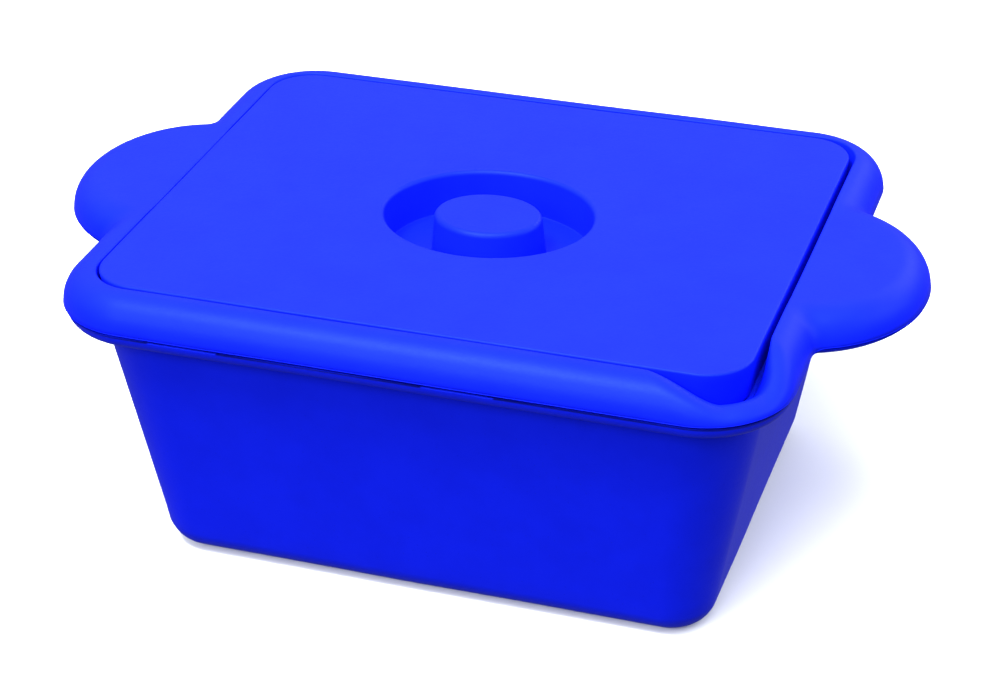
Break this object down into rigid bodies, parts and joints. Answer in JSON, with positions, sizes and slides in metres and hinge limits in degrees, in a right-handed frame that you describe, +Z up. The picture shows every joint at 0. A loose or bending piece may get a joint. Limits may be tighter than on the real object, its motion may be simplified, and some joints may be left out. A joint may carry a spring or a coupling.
{
  "type": "ice pan",
  "caption": "Rectangular insulated foam ice pan with half-moon lugs, a pouring corner and a lift-off plug lid with a recessed knob.",
  "frame": {"origin": "on the table, under the middle of the pan's bounding box", "axes": "+X along the long side, toward the lug beside the pouring corner; +Y toward the long side away from the pouring corner; +Z up, the way the lid lifts off"},
  "size_m": [0.3706, 0.2454, 0.1345],
  "materials": {
    "moulded_foam_pan": "blue closed-cell EVA foam with a smooth moulded skin",
    "moulded_foam_lid": "blue closed-cell EVA foam with a smooth moulded skin"
  },
  "bodies": {
    "pan": {"pan": "moulded_foam_pan"},
    "lid": {"lid": "moulded_foam_lid"}
  },
  "joints": [
    {"name": "lid_lift", "type": "slide", "parent": "pan", "child": "lid", "axis": [0, 0, 1], "range_m": [0, 0.12]}
  ]
}
